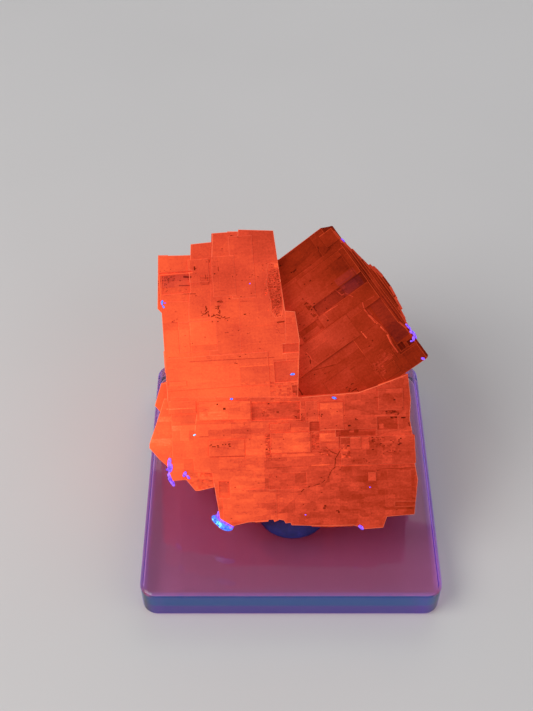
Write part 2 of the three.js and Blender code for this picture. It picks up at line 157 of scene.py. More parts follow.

# Fine ledge lines and cracks by crystal: half width, tone, rise or depth, points. A tone above 0 is a
# painted highlight along a ledge's edge.
LEDGE_LINES = {
    "left": (
        (0.12, 0.2, 0.05, ((-23.9, 54.9), (-16.7, 54.9))),
        (0.1, 0.16, 0.03, ((-23.7, 48.6), (-23.7, 54.7))),
        (0.22, -0.34, -0.08, ((-18.4, 54.2), (-17.1, 54))),
        (0.12, -0.24, -0.05, ((-19.6, 52.4), (-17.5, 52.3))),
        (0.11, -0.2, -0.05, ((-18.7, 50.6), (-16.3, 50.4))),
        (0.08, -0.12, -0.03, ((-7, 48.2), (-5.6, 48.1))),
        (0.09, -0.14, -0.04, ((-21.7, 44.7), (-19.1, 44.5))),
        (0.1, -0.18, -0.05, ((-10.6, 41.8), (-10, 41.8))), (0.16, -0.34, -0.08, ((0.6, 43.2), (1.9, 43.3))),
        (0.1, -0.2, -0.05, ((-13.5, 53.6), (-13.4, 52.5))),
        (0.1, -0.2, -0.05, ((-13.9, 54.2), (-13.9, 53.4))),
        (0.1, -0.25, -0.05, ((-12.9, 57.3), (-12.9, 56.9))),
        (0.16, -0.45, -0.1, ((-16.1, 56), (-16.1, 55.5))),
        (0.1, -0.22, -0.05, ((-11.1, 55.6), (-11.1, 54.9))),
        # the group of dark strokes in the middle of the left crystal
        (0.11, -0.42, -0.1, ((-14.3, 47.6), (-14.2, 46.9))),
        (0.12, -0.46, -0.1, ((-15.2, 45.7), (-14.6, 46), (-14.2, 46.3))),
        (0.1, -0.4, -0.08, ((-13.9, 46), (-13.7, 45.6))),
        (0.11, -0.46, -0.1, ((-13.2, 45.4), (-12.5, 45.6))),
        (0.11, -0.42, -0.1, ((-12.1, 45.7), (-11.5, 45.5))),
        (0.09, -0.38, -0.08, ((-13.2, 44.4), (-12.7, 44.6))),
        (0.1, -0.42, -0.08, ((-12, 45.1), (-11.4, 44.8))),
        (0.08, -0.36, -0.08, ((-10.4, 44.8), (-9.5, 44.9))),
        (0.1, -0.4, -0.1, ((-11.8, 48.4), (-10.7, 48.3))),
        (0.13, -0.42, -0.1, ((-11.7, 47.5), (-11.7, 46.9))),
        (0.1, -0.38, -0.08, ((-11.4, 46.6), (-11.4, 46.1))),
        (0.1, -0.14, -0.04, ((-18.5, 36.2), (-0.7, 35.9))),
        (0.08, 0.08, 0.02, ((-17.9, 36.6), (-17.9, 49.2))), (0.09, 0.12, 0.03, ((-8, 34.4), (-1, 34.4))),
    ),
    "body": (
        (0.12, 0.18, 0.04, ((-7, 26.5), (2.9, 26.4))), (0.12, 0.2, 0.05, ((5.2, 12.8), (8.8, 12.9))),
        (0.1, 0.14, 0.04, ((11.1, 12.5), (26.9, 12.6))), (0.1, -0.1, -0.04, ((18.7, 11.6), (26.9, 11.7))),
        (0.12, 0.16, 0.04, ((-25, 25.6), (-19.1, 25.7))),
        (0.1, 0.18, 0.04, ((-19.2, 20.8), (-19, 22.4), (-18.7, 24.2))),
        (0.1, -0.14, -0.04, ((-18.2, 19.6), (-16.5, 19.6))),
        (0.09, -0.14, -0.04, ((-16.2, 15.3), (-9, 15.2))),
        (0.09, -0.16, -0.05, ((-3.3, 15.7), (4.8, 15.7))), (0.09, -0.14, -0.05, ((5, 16.2), (5.1, 20))),
    ),
    "right": (
        # painted highlight on the right crystal's long step, with painted shade just below it
        (0.08, 0.1, 0.03, ((-22.9, -5.7), (-7.5, -5.75))), (0.08, -0.08, -0.04, ((-22.9, -6), (-9.5, -6))),
        (0.08, 0.18, 0.04, ((-9.5, 12), (-4.4, 12.2))), (0.08, 0.18, 0.04, ((-4.4, 11.2), (0.5, 11.2))),
        (0.09, 0.2, 0.05, ((-11.1, 2.2), (-7.9, 2))),
        (0.11, 0.32, 0.05, ((-7.3, -4.5), (-7.1, -5.5), (-7, -7.2))),
        (0.12, 0.26, 0.05, ((-3.3, -0.7), (-3.8, -2), (-3.8, -3.5), (-3.5, -5.3))),
        (0.16, 0.38, 0.08, ((-3.5, -5.4), (-3.15, -7.1), (-3.05, -9.3), (-3.4, -11.2))),
        (0.13, 0.32, 0.06, ((-3.4, -11.3), (-3.4, -13.4))),
        (0.05, 0.16, 0.03, ((-2.1, -13.7), (-2.1, -12.2))),
        (0.05, 0.16, 0.03, ((-0.1, -13.8), (-0.1, -12.8))),
        (0.11, -0.34, -0.1, ((-20.5, -2.6), (-19.6, -2.6), (-19.4, -3.3), (-19.6, -4.1), (-19.9, -4.7))),
        (0.08, 0.14, 0.04, ((-19.3, -2.3), (-19.1, -3.3), (-19.3, -4.2))),
        (0.09, 0.22, 0.05, ((-6.4, 4.7), (-6, 3.2), (-5.1, 3.1), (-4.2, 1.6))),
        (0.1, 0.12, 0.03, ((-11.4, 2.6), (-11.2, 0.6))),
        (0.13, -0.26, -0.08, ((-12.5, 13.2), (-11.9, 13.4), (-11.4, 13.2), (-10.8, 13.3))),
        (0.12, -0.26, -0.08, ((-4, 14.3), (-4.4, 13.6))),
        (0.12, -0.22, -0.06, ((-12.6, 5.2), (-12.4, 3.7))),
        (0.14, -0.26, -0.06, ((-25.5, -7.6), (-25.6, -9.1))),
        (0.09, -0.12, -0.04, ((-20.4, -6.3), (-15.9, -8))),
        (0.1, 0.14, 0.03, ((-8.7, -13.4), (-4.4, -13.4))), (0.1, 0.12, 0.03, ((-2.4, -0.8), (-0.5, -1))),
    ),
}

# The long crack of the lower body
CRACK = (
    "body", 0.09, -0.3, -0.1,
    (
        (8.3, 16.6), (9.3, 15.6), (10.4, 15.1), (11.2, 15.7), (10.2, 14.2), (10, 12.3), (9.3, 11.7),
        (8.6, 10.3), (7.8, 9.6), (6.7, 8.9), (4.6, 8.4), (3.5, 8), (2.8, 7.4),
    ),
)

# Dark pits by crystal: left, low, right, high, how many, size, tone.
PITS = {
    "left": (
        (-14.6, 46.2, -13.9, 47.7, 5, 0.2, -0.4), (-15.4, 45.3, -13.4, 46.4, 8, 0.2, -0.4),
        (-13.6, 45, -11.1, 45.9, 10, 0.2, -0.4), (-12.2, 46, -11.2, 48, 8, 0.2, -0.4),
        (-12.3, 48, -10.5, 48.6, 4, 0.2, -0.38), (-12.6, 44.2, -9.3, 45.2, 9, 0.2, -0.38),
        (-13.5, 44.2, -12.5, 44.7, 4, 0.18, -0.36), (-23.3, 53.2, -21.7, 54.6, 26, 0.15, -0.34),
        (-21.7, 53.6, -20.3, 54.6, 10, 0.14, -0.28), (-23.3, 51.2, -22.2, 53.2, 16, 0.15, -0.32),
        (-24, 48.6, -23.7, 54.6, 14, 0.16, -0.34), (-23.4, 55.2, -21, 55.9, 8, 0.14, -0.26),
        (-1.9, 50, 0.4, 55.8, 26, 0.16, -0.2), (-0.9, 44.6, 0.4, 50, 20, 0.16, -0.22),
        (0.4, 44.4, 1.6, 54.6, 46, 0.2, -0.3), (-1.7, 45, 0.8, 55, 34, 0.14, 0.22),
        (-12.3, 54.3, -11.9, 54.6, 1, 0.3, -0.4), (-6.3, 45.3, -6.1, 45.6, 1, 0.34, -0.45),
        (-8, 61.6, -6.5, 62.2, 4, 0.26, -0.3), (-21.8, 44.6, -20.8, 45.2, 3, 0.26, -0.25),
        (-8.9, 36.4, -7.8, 36.9, 3, 0.28, -0.3), (-9, 34.9, -8, 35.3, 2, 0.26, -0.3),
        (-18.4, 39.9, -17.7, 40.3, 2, 0.26, -0.3), (-23, 36, -2, 60, 40, 0.2, -0.22),
    ),
    "body": (
        (-16.4, 17.2, -14.3, 18, 7, 0.28, -0.38), (-13.6, 17.4, -11.6, 18, 7, 0.28, -0.38),
        (-4.3, 16.3, -3.3, 16.7, 3, 0.32, -0.5), (-4.1, 14.7, -3.4, 15.1, 3, 0.3, -0.45),
        (-14.5, 26.3, -14.1, 26.6, 1, 0.36, -0.6), (-13.3, 25.2, -12.8, 25.7, 1, 0.42, -0.6),
        (-5.2, 23.7, -4.3, 24.4, 5, 0.32, -0.35), (-3.6, 26, -3, 26.5, 2, 0.3, -0.35),
        (-2, 24.2, -1.5, 24.7, 2, 0.3, -0.35), (1.7, 22.9, 2.6, 23.5, 3, 0.3, -0.4),
        (3.2, 23.2, 3.7, 23.6, 2, 0.28, -0.4), (7.1, 22.5, 7.6, 23.6, 3, 0.3, -0.35),
        (13, 20.6, 13.5, 21.1, 1, 0.42, -0.5), (13, 19.8, 13.4, 20.3, 1, 0.38, -0.45),
        (12.9, 16.5, 13.3, 16.9, 2, 0.34, -0.45), (24.4, 21.7, 25.1, 22.5, 2, 0.48, -0.4),
        (25.7, 20.1, 26.1, 21.3, 3, 0.34, -0.4), (23.6, 17.6, 24.1, 18.3, 2, 0.36, -0.4),
        (23.5, 16.6, 24, 17.4, 2, 0.36, -0.4), (22.6, 25.8, 23.1, 26.3, 1, 0.38, -0.35),
        (14.2, 21.9, 15, 22.4, 3, 0.28, -0.35), (21.1, 22.3, 23.9, 24, 9, 0.3, -0.3),
        (17.3, 16.4, 20.2, 18.4, 14, 0.24, -0.3), (19.8, 14.6, 23.9, 17.8, 12, 0.22, -0.26),
        (13, 12.4, 17.4, 15, 6, 0.18, -0.22), (7, 3.7, 8, 4.3, 2, 0.42, -0.3),
        (9.4, 2.8, 10.6, 3.3, 2, 0.42, -0.28), (-14, 2, 25, 26, 46, 0.22, -0.25),
    ),
    "right": (
        (-8, 12.1, -7.6, 12.5, 2, 0.34, -0.4), (-13, 15.6, -12.6, 16, 2, 0.34, -0.35),
        (-13.6, 3.4, -11.6, 5.6, 6, 0.3, -0.3), (-11.6, 0.4, -11.2, 0.8, 1, 0.36, -0.3),
        (-17.2, -15.4, -15.2, -13.2, 12, 0.34, -0.2), (-24, -9, -3.5, 14, 26, 0.24, -0.22),
    ),
}

# Places with a violet cast by crystal: rectangle, amount.
VIOLET_PLACES = {
    "right": (
        ((-12.6, 2.3, -5.4, 4.9), 0.05), ((-5.4, 2.3, -0.6, 6.6), 0.1), ((-5, 2.6, -1.8, 5.4), 0.18),
        ((-2.6, -11.8, 2, -1.9), 0.05),
    ),
    "left": (
        ((-23.6, 52.1, -17.1, 54.8), 0.1),
    ),
}


def settings():
    """The sizes and colours that a user can change."""
    return bpy.context.scene.halite_settings


class Tree:
    """A short way to write a material's nodes, whose kinds are named without ShaderNode."""

    def __init__(self, name):
        self.material = bpy.data.materials.new(name)
        self.material.use_nodes = True
        self.tree = self.material.node_tree
        self.tree.nodes.clear()
        self.output = self.add("OutputMaterial")

    def add(self, kind, values=None, **options):
        node = self.tree.nodes.new("ShaderNode" + kind)
        for name, value in options.items():
            setattr(node, name, value)
        for socket, value in (values or {}).items():
            if isinstance(value, bpy.types.NodeSocket):
                self.tree.links.new(value, node.inputs[socket])
            else:
                node.inputs[socket].default_value = value
        return node

    def math(self, operation, first, second=0.0, clamp=False):
        node = self.add("Math", {0: first, 1: second}, operation=operation, use_clamp=clamp)
        return node.outputs[0]

    def total(self, first, *others):
        for other in others:
            first = self.math("ADD", first, other)
        return first

    def times(self, first, second):
        return self.math("MULTIPLY", first, second)

    def layer(self, name):
        """A value that the mesh holds for each face."""
        return self.add("Attribute", attribute_name=name).outputs["Fac"]

    def place(self):
        """The piece's own coordinates."""
        return self.add("TexCoord").outputs["Object"]

    def between(self, value, low, high, to_low, to_high):
        reach = {"From Min": low, "From Max": high, "To Min": to_low, "To Max": to_high}
        return self.add("MapRange", {"Value": value, **reach}).outputs["Result"]

    def blend(self, share, first, second):
        node = self.add("Mix", {"Factor": share, "A": first, "B": second}, data_type="RGBA")
        return node.outputs["Result"]

    def ramp(self, value, stops):
        node = self.add("ValToRGB", {"Fac": value})
        points = node.color_ramp.elements
        while len(points) < len(stops):
            points.new(0.5)
        for point, (place, colour) in zip(points, stops):
            point.position = place
            point.color = colour
        return node.outputs["Color"]

    def crystal_coordinates(self, place, stretch=(1, 1, 1)):
        """Object coordinates turned into one crystal's own directions, in millimetres."""
        location, turn, scale = (TO_ROW @ place).inverted().decompose()
        values = {"Location": location, "Rotation": turn.to_euler("XYZ"), "Scale": scale}
        turned = self.add("Mapping", {"Vector": self.place(), **values}).outputs["Vector"]
        if stretch == (1, 1, 1):
            return turned
        return self.add("Mapping", {"Vector": turned, "Scale": stretch}).outputs["Vector"]

    def speckle(self, coordinates, scale, detail=2.0, roughness=0.5):
        values = {"Vector": coordinates, "Scale": scale, "Detail": detail, "Roughness": roughness}
        return self.add("TexNoise", values).outputs["Fac"]

    def cells(self, coordinates):
        """One chance value for each small square cell."""
        node = self.add("TexVoronoi", {"Vector": coordinates, "Scale": 1.0}, distance="CHEBYCHEV")
        return self.add("SeparateColor", {"Color": node.outputs["Color"]}).outputs["Red"]

    def finish(self, surface, volume=None):
        self.tree.links.new(surface, self.output.inputs["Surface"])
        if volume is not None:
            self.tree.links.new(volume, self.output.inputs["Volume"])
        return self.material


def srgb(red, green, blue):
    """A colour as 0 to 255 on screen, turned into the linear values that nodes hold."""

    def linear(value):
        value /= 255
        return value / 12.92 if value <= 0.04045 else ((value + 0.055) / 1.055) ** 2.4

    return (linear(red), linear(green), linear(blue), 1.0)


GLOW_STOPS = (
    (0.0, srgb(88, 19, 8)),
    (0.2, srgb(130, 35, 14)),
    (0.3, srgb(147, 41, 20)),
    (0.42, srgb(168, 52, 32)),
    (0.56, srgb(198, 65, 42)),
    (0.7, srgb(223, 81, 48)),
    (0.85, srgb(249, 97, 54)),
    (1.0, srgb(255, 121, 77)),
)
VIOLET = srgb(92, 36, 62)
# Painted highlight along the tall edges, on each crystal, and how much the edges' painted light lifts the
# shade; in hollows it lowers the shade as painted shade
EDGE_HIGHLIGHT = {"left": srgb(255, 150, 112), "body": srgb(255, 136, 96), "right": srgb(230, 86, 48)}
EDGE_LIGHT_SHARE = 0.08
# Shade of each crystal where the face's middle line meets the left crystal's foot, and how it changes
# to the right and upwards, per millimetre. The fall to the right is painted light, brighter towards a
# lamp at the left, and the right crystal's low shade is painted shade.
SHADE = {
    "left": (0.67, -0.0035, -0.0055),
    "body": (0.61, -0.0072, 0.0022),
    "right": (0.34, -0.003, -0.003),
}
# Painted light: a pool of light on the right crystal, brightest near the left crystal
RIGHT_LIGHT_POOL = (5.0, 40.0, 0.0)  # the brightest place of the right crystal, in the face
LIGHT_POOL_SHADE = (0.0, 18.0, 0.13, -0.04)  # what the shade gains at that place and 18 mm away from it
# How strongly small growth cells change each crystal's shade
MOSAIC = {"left": 0.014, "body": 0.050, "right": 0.018}
SMALL_SHARE = 0.6  # strength of the small cells as a share of the coarse ones'
SMOOTH_LEFT = (-22.0, -11.0, 0.25, 1.0)  # across the face, the growth cells grow from faint to full
# The noise patterns: stretch along the crystal's own directions, scale, detail, roughness.
PATTERNS = {
    "clouds": ((1, 1, 1), 0.085, 3.0, 0.55),
    "level_lines": ((0.22, 2.6, 1.0), 1.0, 3.0, 0.7),
    "upright_lines": ((2.4, 0.2, 1.0), 1.0, 3.0, 0.7),
    "dashes": ((0.45, 3.2, 1.0), 1.0, 1.0, 0.5),
    "grain": ((1, 1, 1), 2.4, 4.0, 0.75),
    "specks": ((0.8, 1.3, 1.0), 2.6, 2.0, 0.6),
}
COARSE_CELLS = (0.34, 0.95, 0.5)  # growth cells to the millimetre, along the crystal's own directions
SMALL_CELLS = (1.3, 2.9, 1.5)
# How each pattern changes the shade: two readings of the pattern, and the change at each.
CLOUDS = (0.3, 0.7, -0.09, 0.09)
LEVEL_LINES = (0.3, 0.7, -0.014, 0.014)
UPRIGHT_LINES = (0.3, 0.7, -0.012, 0.012)
DARK_DASHES = (0.70, 0.78, 0.0, -0.12)
PALE_DASHES = (0.26, 0.20, 0.0, 0.10)
GRAIN = (0.25, 0.75, -0.075, 0.075)
DARK_SPECKS = (0.70, 0.78, 0.0, -0.22)
# The surface: its roughness at two readings of the grain, how much the level lines, the upright lines
# and the grain count in its relief, and the relief's depth and strength.
GRAIN_ROUGHNESS = (0.3, 0.7, 0.24, 0.46)
RELIEF_SHARES = (0.6, 0.5, 0.8)
RELIEF_DEPTH = 0.12 * MM
RELIEF_STRENGTH = 0.55
HALITE_IOR = 1.544


def halite_material(crystal):
    options = settings()
    tree = Tree("halite_" + crystal)
    place = PLACES[crystal]

    def pattern(name):
        stretch, *values = PATTERNS[name]
        return tree.speckle(tree.crystal_coordinates(place, stretch), *values)

    face = tree.crystal_coordinates(Matrix.Identity(4))
    reach = tree.add("SeparateXYZ", {"Vector": face})
    # painted light: the shade falls from left to right across each crystal, and the right crystal is darker
    # as painted shade
    middle, painted_light_across, by_up = SHADE[crystal]
    shade = tree.math("MULTIPLY_ADD", reach.outputs["X"], painted_light_across)
    shade.node.inputs[2].default_value = middle - by_up * LEFT_FOOT
    shade = tree.total(shade, tree.times(reach.outputs["Y"], by_up))
    # the right crystal's painted pool of light
    if crystal == "right":
        away = tree.add("VectorMath", {0: face, 1: RIGHT_LIGHT_POOL}, operation="DISTANCE").outputs["Value"]
        shade = tree.total(shade, tree.between(away, *LIGHT_POOL_SHADE))
    # painted edge highlight, and painted shade along edges in hollows
    edge_light_and_shade = tree.layer("edge_light_and_shade")
    clouds = pattern("clouds")
    shade = tree.total(shade, tree.layer("tone"), tree.times(edge_light_and_shade, EDGE_LIGHT_SHARE), tree.between(clouds, *CLOUDS))
    strength = MOSAIC[crystal]
    coarse = tree.cells(tree.crystal_coordinates(place, COARSE_CELLS))
    small = tree.cells(tree.crystal_coordinates(place, SMALL_CELLS))
    mosaic = tree.total(
        tree.between(coarse, 0.0, 1.0, -strength, strength),
        tree.between(small, 0.0, 1.0, -strength * SMALL_SHARE, strength * SMALL_SHARE),
    )
    fade = tree.between(reach.outputs["X"], *SMOOTH_LEFT)
    level_lines = pattern("level_lines")
    upright_lines = pattern("upright_lines")
    dashes = pattern("dashes")
    grain = pattern("grain")
    specks = pattern("specks")
    shade = tree.total(
        shade,
        tree.times(mosaic, fade),
        tree.between(level_lines, *LEVEL_LINES),
        tree.between(upright_lines, *UPRIGHT_LINES),
        tree.between(dashes, *DARK_DASHES),
        tree.between(dashes, *PALE_DASHES),
        tree.between(grain, *GRAIN),
    )
    shade = tree.math("ADD", shade, tree.between(specks, *DARK_SPECKS), clamp=True)
    # the painted highlight's colour, mixed in along the edges
    edge = tree.between(edge_light_and_shade, 0.0, 1.0, 0.0, options.painted_edge_highlight)
    colour = tree.blend(edge, tree.ramp(shade, GLOW_STOPS), EDGE_HIGHLIGHT[crystal])
    colour = tree.blend(tree.layer("violet"), colour, VIOLET)
    parts = zip((level_lines, upright_lines, grain), RELIEF_SHARES)
    height = tree.total(*[tree.times(*part) for part in parts])
    bump = tree.add("Bump", {"Height": height, "Distance": RELIEF_DEPTH, "Strength": RELIEF_STRENGTH})
    shader = tree.add(
        "BsdfPrincipled",
        {
            "Base Color": colour,
            "Roughness": tree.between(grain, *GRAIN_ROUGHNESS),
            "IOR": HALITE_IOR,
            "Specular IOR Level": 0.0,
            "Normal": bump.outputs["Normal"],
            "Emission Color": colour,
            "Emission Strength": options.glow,
        },
    )
    return tree.finish(shader.outputs["BSDF"])


# The light of the base's walls, from the bottom up, and the depth that it comes from
WALL_STOPS = (
    (0.0, srgb(84, 62, 168)),
    (0.46, srgb(92, 70, 176)),
    (0.54, srgb(40, 96, 172)),
    (1.0, srgb(52, 92, 180)),
)
WALL_DEPTH = 1.2 * MM
WALL_SKIN = 0.1 * MM
ACRYLIC_IOR = 1.49


def acrylic_material():
    """Clear acrylic with a faint tint, whose side walls glow teal above and lilac below. The magenta tint
    is a painted reflection of the specimen's glow in the clear base.
    """
    tree = Tree("clear_acrylic")
    place = tree.add("SeparateXYZ", {"Vector": tree.place()}).outputs
    from_middle = tree.math("MAXIMUM", tree.math("ABSOLUTE", place["X"]), tree.math("ABSOLUTE", place["Y"]))
    wall = tree.between(from_middle, BASE_HALF - WALL_DEPTH, BASE_HALF - WALL_SKIN, 0.0, 1.0)
    height = tree.between(place["Z"], 0.0, BASE_HEIGHT * MM, 0.0, 1.0)
    glow = tree.ramp(height, WALL_STOPS)
    shader = tree.add(
        "BsdfPrincipled",
        {
            "Base Color": (1.0, 1.0, 1.0, 1.0),
            "Roughness": 0.03,
            "IOR": ACRYLIC_IOR,
            "Transmission Weight": 1.0,
            "Emission Color": glow,
            "Emission Strength": tree.times(wall, settings().wall_glow),
        },
    )
    # painted reflection: the tint stands in for the specimen's glow seen in the clear acrylic
    tint = tree.add(
        "VolumeAbsorption",
        {"Color": settings().base_painted_reflection_tint[:] + (1.0,), "Density": settings().base_density},
    )
    return tree.finish(shader.outputs["BSDF"], tint.outputs["Volume"])


# The lump under the front edge is dark navy: partly the putty's own colour, partly painted shadow under the
# specimen
def putty_and_shadow_material():
    tree = Tree("putty_and_painted_shadow")
    source = tree.place()
    lumps = tree.speckle(source, 420.0, 4.0, 0.6)
    # dark navy: putty colour together with painted shadow
    colour = tree.ramp(lumps, ((0.3, srgb(26, 24, 92)), (0.7, srgb(46, 42, 128))))
    bump = tree.add("Bump", {"Height": lumps, "Distance": 0.0004, "Strength": 0.6})
    shader = tree.add(
        "BsdfPrincipled",
        {"Base Color": colour, "Roughness": 0.75, "Normal": bump.outputs["Normal"]},
    )
    return tree.finish(shader.outputs["BSDF"])


def crumb_material(name, deep, pale, strength):
    tree = Tree(name)
    source = tree.place()
    grain = tree.speckle(source, 1800.0, 2.0, 0.6)
    colour = tree.ramp(grain, ((0.35, deep), (0.65, pale)))
    shader = tree.add(
        "BsdfPrincipled",
        {"Base Color": colour, "Roughness": 0.45, "Emission Color": colour, "Emission Strength": strength},
    )
    return tree.finish(shader.outputs["BSDF"])


def floor_material():
    tree = Tree("pale_floor")
    source = tree.place()
    mottle = tree.speckle(source, 6.0, 3.0, 0.5)
    colour = tree.ramp(mottle, ((0.3, (0.62, 0.61, 0.60, 1.0)), (0.7, (0.66, 0.65, 0.64, 1.0))))
    shader = tree.add("BsdfPrincipled", {"Base Color": colour, "Roughness": 0.9})
    return tree.finish(shader.outputs["BSDF"])


# How the specimen's mesh is worked, in millimetres where nothing else is said
PATCH_STRENGTH = 0.6  # how much of the patches' tone is put on
NEAR = 0.002  # distance within which a corner counts as lying on a cut
MARGIN = 0.01  # how far a face may reach past a rectangle that it fits in
FLAT_ANGLE = math.radians(0.4)  # faces that meet at less are one face
FACING = 0.995  # cosine above which a face counts as a front face
ALIGNED = 0.999  # cosine above which a face counts as one of the right crystal's
RELIEF_LEVELS = 8  # different heights that lifted bricks have
BRICK_SEED = 4817
EVENNESS = 0.3  # smallest share of a brick's length that a cut leaves on either side
# The slopes along the front faces' edges carry a painted highlight where an edge sticks out and painted
# shade in a hollow
RIM_WIDTH = 0.12
RIM_RISE = 0.05
RIM_ANGLE = 0.3  # radians above which an edge sticks out
# painted shade: an edge in a hollow is darkened by this share
HOLLOW_EDGE_SHADE = -0.8  # light of an edge in a hollow
TALL_WALL = 1.2  # height above which a step's edge is as bright as the crystal's own
SHALLOW_RIM = 0.30  # how much of that light a lower step's edge has
SLOPE = 0.05  # width of the slope round a patch
BRICK_SLOPE = 0.06
FRONT_BRICKS = (0.35, 0.05)  # share of them that is lifted or sunk, and by how much
SIDE_BRICKS = (0.45, 0.22)
SIDE_BRICK_SIZE = (7.0, 4.5)
SIDE_SPREAD = 0.05
SMALLEST_SIDE = 12  # areas in square millimetres, below which a face is left as it is
SMALLEST_BRICK = 0.6
SMALLEST_ETCHED = 0.04
ETCHED_SHARE = 0.7
ETCHED_RISE = 0.3  # how far etched squares are raised, as a share of how far others are sunk
UNEVEN = (0.6, 1.6)  # spread of the bricks' sizes
ETCHED_STRETCH = 1.6  # width of the etched squares as a share of their height
LINE_SLOPE = 0.5  # width of the slope beside a line, as a share of the line's half width
PIT_HALF_WIDTH = (0.4, 0.95)  # spread, as a share of the pits' size
PIT_HALF_HEIGHT = (0.3, 0.5)
PIT_DEPTH = 0.12
PIT_SLOPE = 0.05


def span(face, direction):
    """Lowest and highest reach of a face along a direction."""
    reach = [vert.co.dot(direction) for vert in face.verts]
    return min(reach), max(reach)


def reaches(face, axes):
    """A face's left, low, right and high reach along two directions."""
    left, right = span(face, axes[0])
    low, high = span(face, axes[1])
    return left, low, right, high


def crossings(face, corners, gaps, along):
    """Where a plane crosses a face's outline: for each place its corners, each with its reach, in order.
    An edge that is crossed gets a new corner. Corners that lie on the plane count where the outline
    changes side there."""
    count = len(corners)
    edges = [loop.edge for loop in face.loops]
    sides = [0 if abs(gap) <= NEAR else math.copysign(1, gap) for gap in gaps]
    found = []
    for start in range(count):
        following = (start + 1) % count
        if sides[start] == 0:
            continue
        if sides[following] == -sides[start]:
            share = gaps[start] / (gaps[start] - gaps[following])
            place = corners[start].co.lerp(corners[following].co, share)
            corner = bmesh.utils.edge_split(edges[start], corners[start], share)[1]
            corner.co = place
            found.append([(place.dot(along), corner)])
        elif sides[following] == 0:
            run = []
            number = following
            while sides[number] == 0:
                run.append((corners[number].co.dot(along), corners[number]))
                number = (number + 1) % count
            if sides[number] == -sides[start]:
                found.append(sorted(run, key=lambda end: end[0]))
    return found


def overlaps(first, second, margin=0.0):
    return (
        first[0] < second[2] - margin and first[2] > second[0] + margin
        and first[1] < second[3] - margin and first[3] > second[1] + margin
    )


def fits(inner, outer):
    return (
        inner[0] > outer[0] - MARGIN and inner[2] < outer[2] + MARGIN
        and inner[1] > outer[1] - MARGIN and inner[3] < outer[3] + MARGIN
    )


